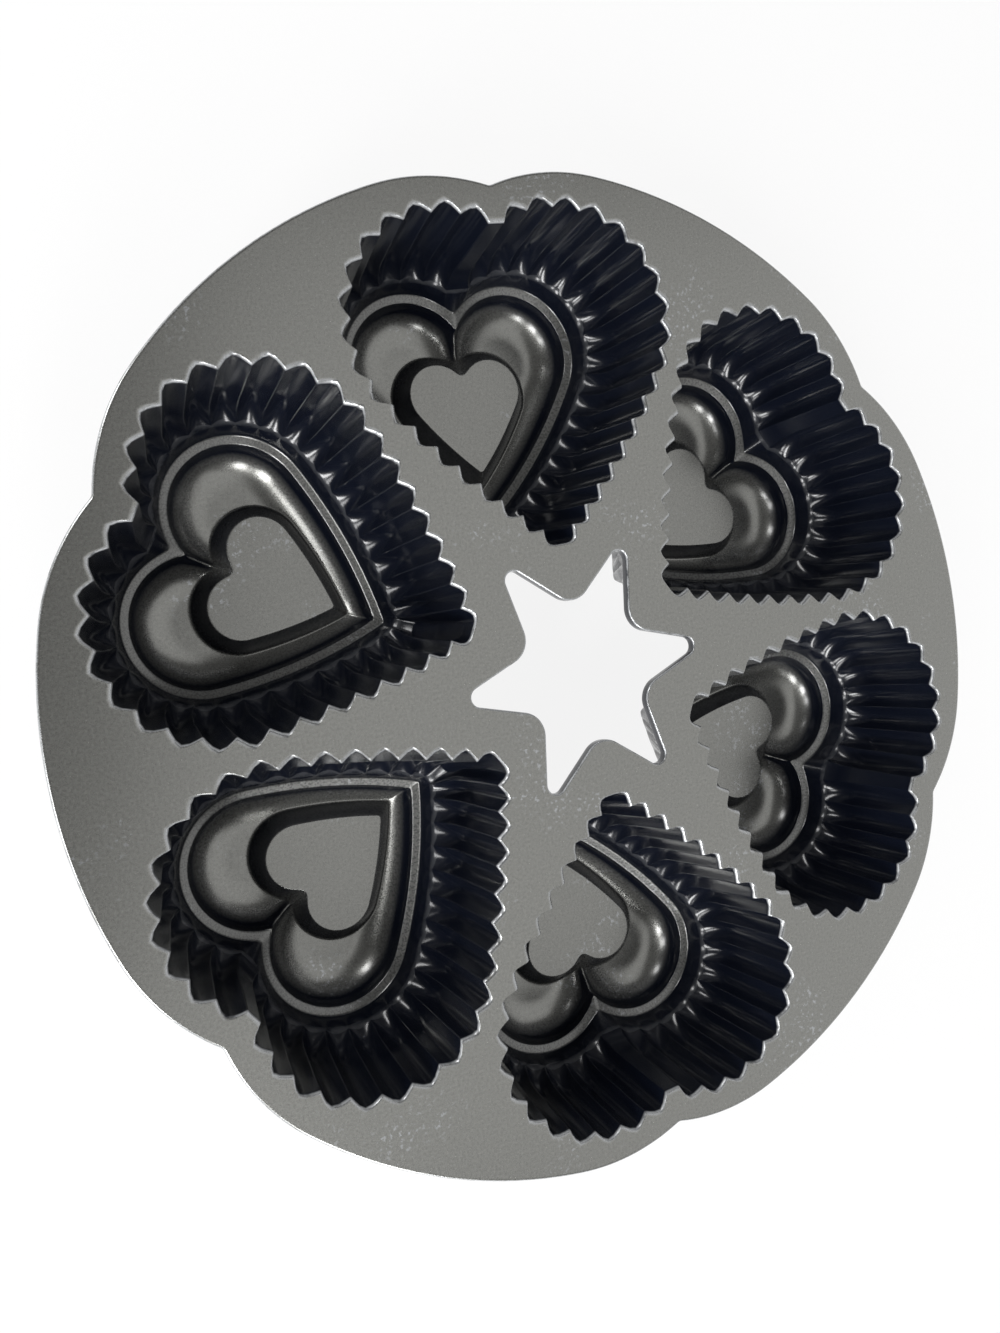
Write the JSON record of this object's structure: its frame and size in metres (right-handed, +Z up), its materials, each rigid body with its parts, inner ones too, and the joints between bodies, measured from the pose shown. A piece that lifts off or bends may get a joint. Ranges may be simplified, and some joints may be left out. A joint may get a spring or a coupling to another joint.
{
  "type": "cake pan",
  "caption": "Round lobed cake pan: a flat deck with a star-shaped centre hole and a ring of stepped, fluted heart cups, each with a small raised heart in its floor.",
  "frame": {"origin": "on the axis of the star-shaped hole, in the plane that the cups rest on", "axes": "+Z up out of the cups' mouths, +Y from the middle towards the cleft of heart_cup_1, +X towards the scallop between heart_cup_2 and heart_cup_3"},
  "size_m": [0.2714, 0.267, 0.0532],
  "materials": {
    "deck_coating": "cast aluminium with a dark grey satin non-stick coating, finely speckled and lightly scuffed",
    "cup_coating": "cast aluminium with a dark grey satin non-stick coating"
  },
  "bodies": {
    "root": {"deck": "deck_coating", "heart_cup_1": "cup_coating", "heart_cup_2": "cup_coating", "heart_cup_3": "cup_coating", "heart_cup_4": "cup_coating", "heart_cup_5": "cup_coating", "heart_cup_6": "cup_coating"}
  },
  "joints": []
}
